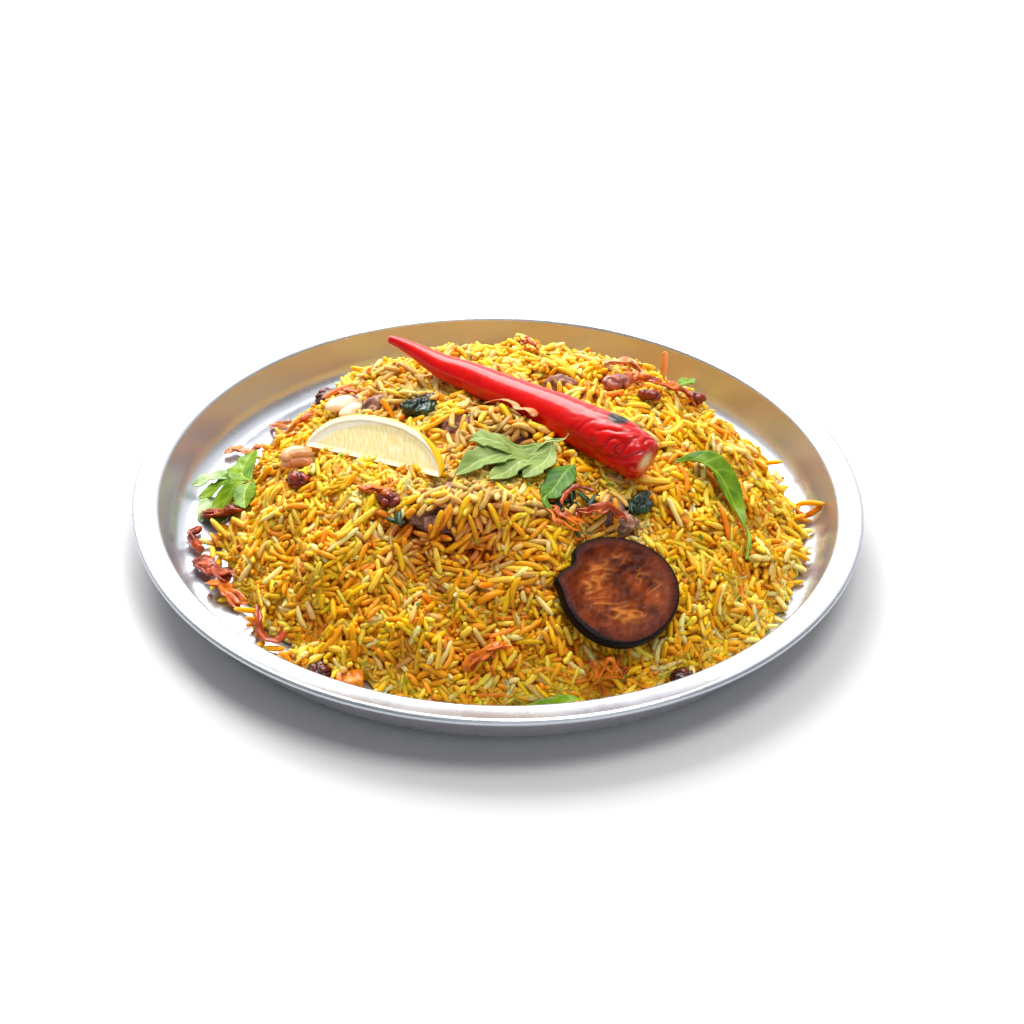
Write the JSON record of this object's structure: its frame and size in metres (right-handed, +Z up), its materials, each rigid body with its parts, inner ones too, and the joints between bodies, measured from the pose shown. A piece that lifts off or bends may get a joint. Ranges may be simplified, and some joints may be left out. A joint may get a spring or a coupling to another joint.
{
  "type": "plate of biryani",
  "caption": "Heap of spiced yellow rice with meat, dried fruit and nuts on a shallow round steel plate, topped with a roasted red chilli, a lemon wedge, a fried aubergine slice and herbs",
  "frame": {"origin": "centre of the plate's flat underside, on the surface that the plate stands on", "axes": "+Z up, -Y towards the diner (the side that the aubergine slice and the lemon's core edge face), +X to the diner's right"},
  "size_m": [0.28, 0.28, 0.069],
  "materials": {
    "steel": "polished to a mirror, with fine wiping marks",
    "rice": "moist cooked rice, yellow, pale and orange grains",
    "chilli": "glossy roasted skin",
    "lemon": "wet flesh, white pith, yellow rind",
    "aubergine": "fried, oily",
    "meat": "browned, moist",
    "greens": "cooked, dark and wet",
    "dried_fruit": "wrinkled, slightly sticky",
    "nut": "blanched nut",
    "carrot": "cooked, moist",
    "onion": "crisp fried, thin and translucent at the edges",
    "leaf": "fresh herb leaf"
  },
  "bodies": {
    "root": {"plate": "steel", "rice": "rice", "red_chilli": "chilli", "lemon_wedge": "lemon", "aubergine_slice": "aubergine", "meat_back_left": "meat", "meat_centre": "meat", "meat_front": "meat", "meat_right": "meat", "meat_behind_chilli": "meat", "greens_back": "greens", "greens_right": "greens", "raisin_back": "dried_fruit", "raisin_left": "dried_fruit", "raisin_middle": "dried_fruit", "raisin_plate": "dried_fruit", "raisin_back_right": "dried_fruit", "raisin_far_right": "dried_fruit", "raisin_front_right": "dried_fruit", "sultana": "dried_fruit", "almond_back": "nut", "cashew_front": "nut", "carrot_strip": "carrot", "apricot_piece": "carrot", "onion_under_chilli": "onion", "onion_left_strip": "onion", "onion_left_loop": "onion", "onion_left_clump": "onion", "onion_front_left": "onion", "onion_back_left": "onion", "onion_back_left_curl": "onion", "onion_over_slice": "onion", "onion_loop_right": "onion", "onion_back_right": "onion", "onion_upright": "onion", "leaf_centre_small": "leaf", "leaf_right": "leaf", "leaf_front": "leaf", "leaf_back_right": "leaf", "leaf_centre_large": "leaf", "sprig_left": "leaf"}
  },
  "joints": []
}
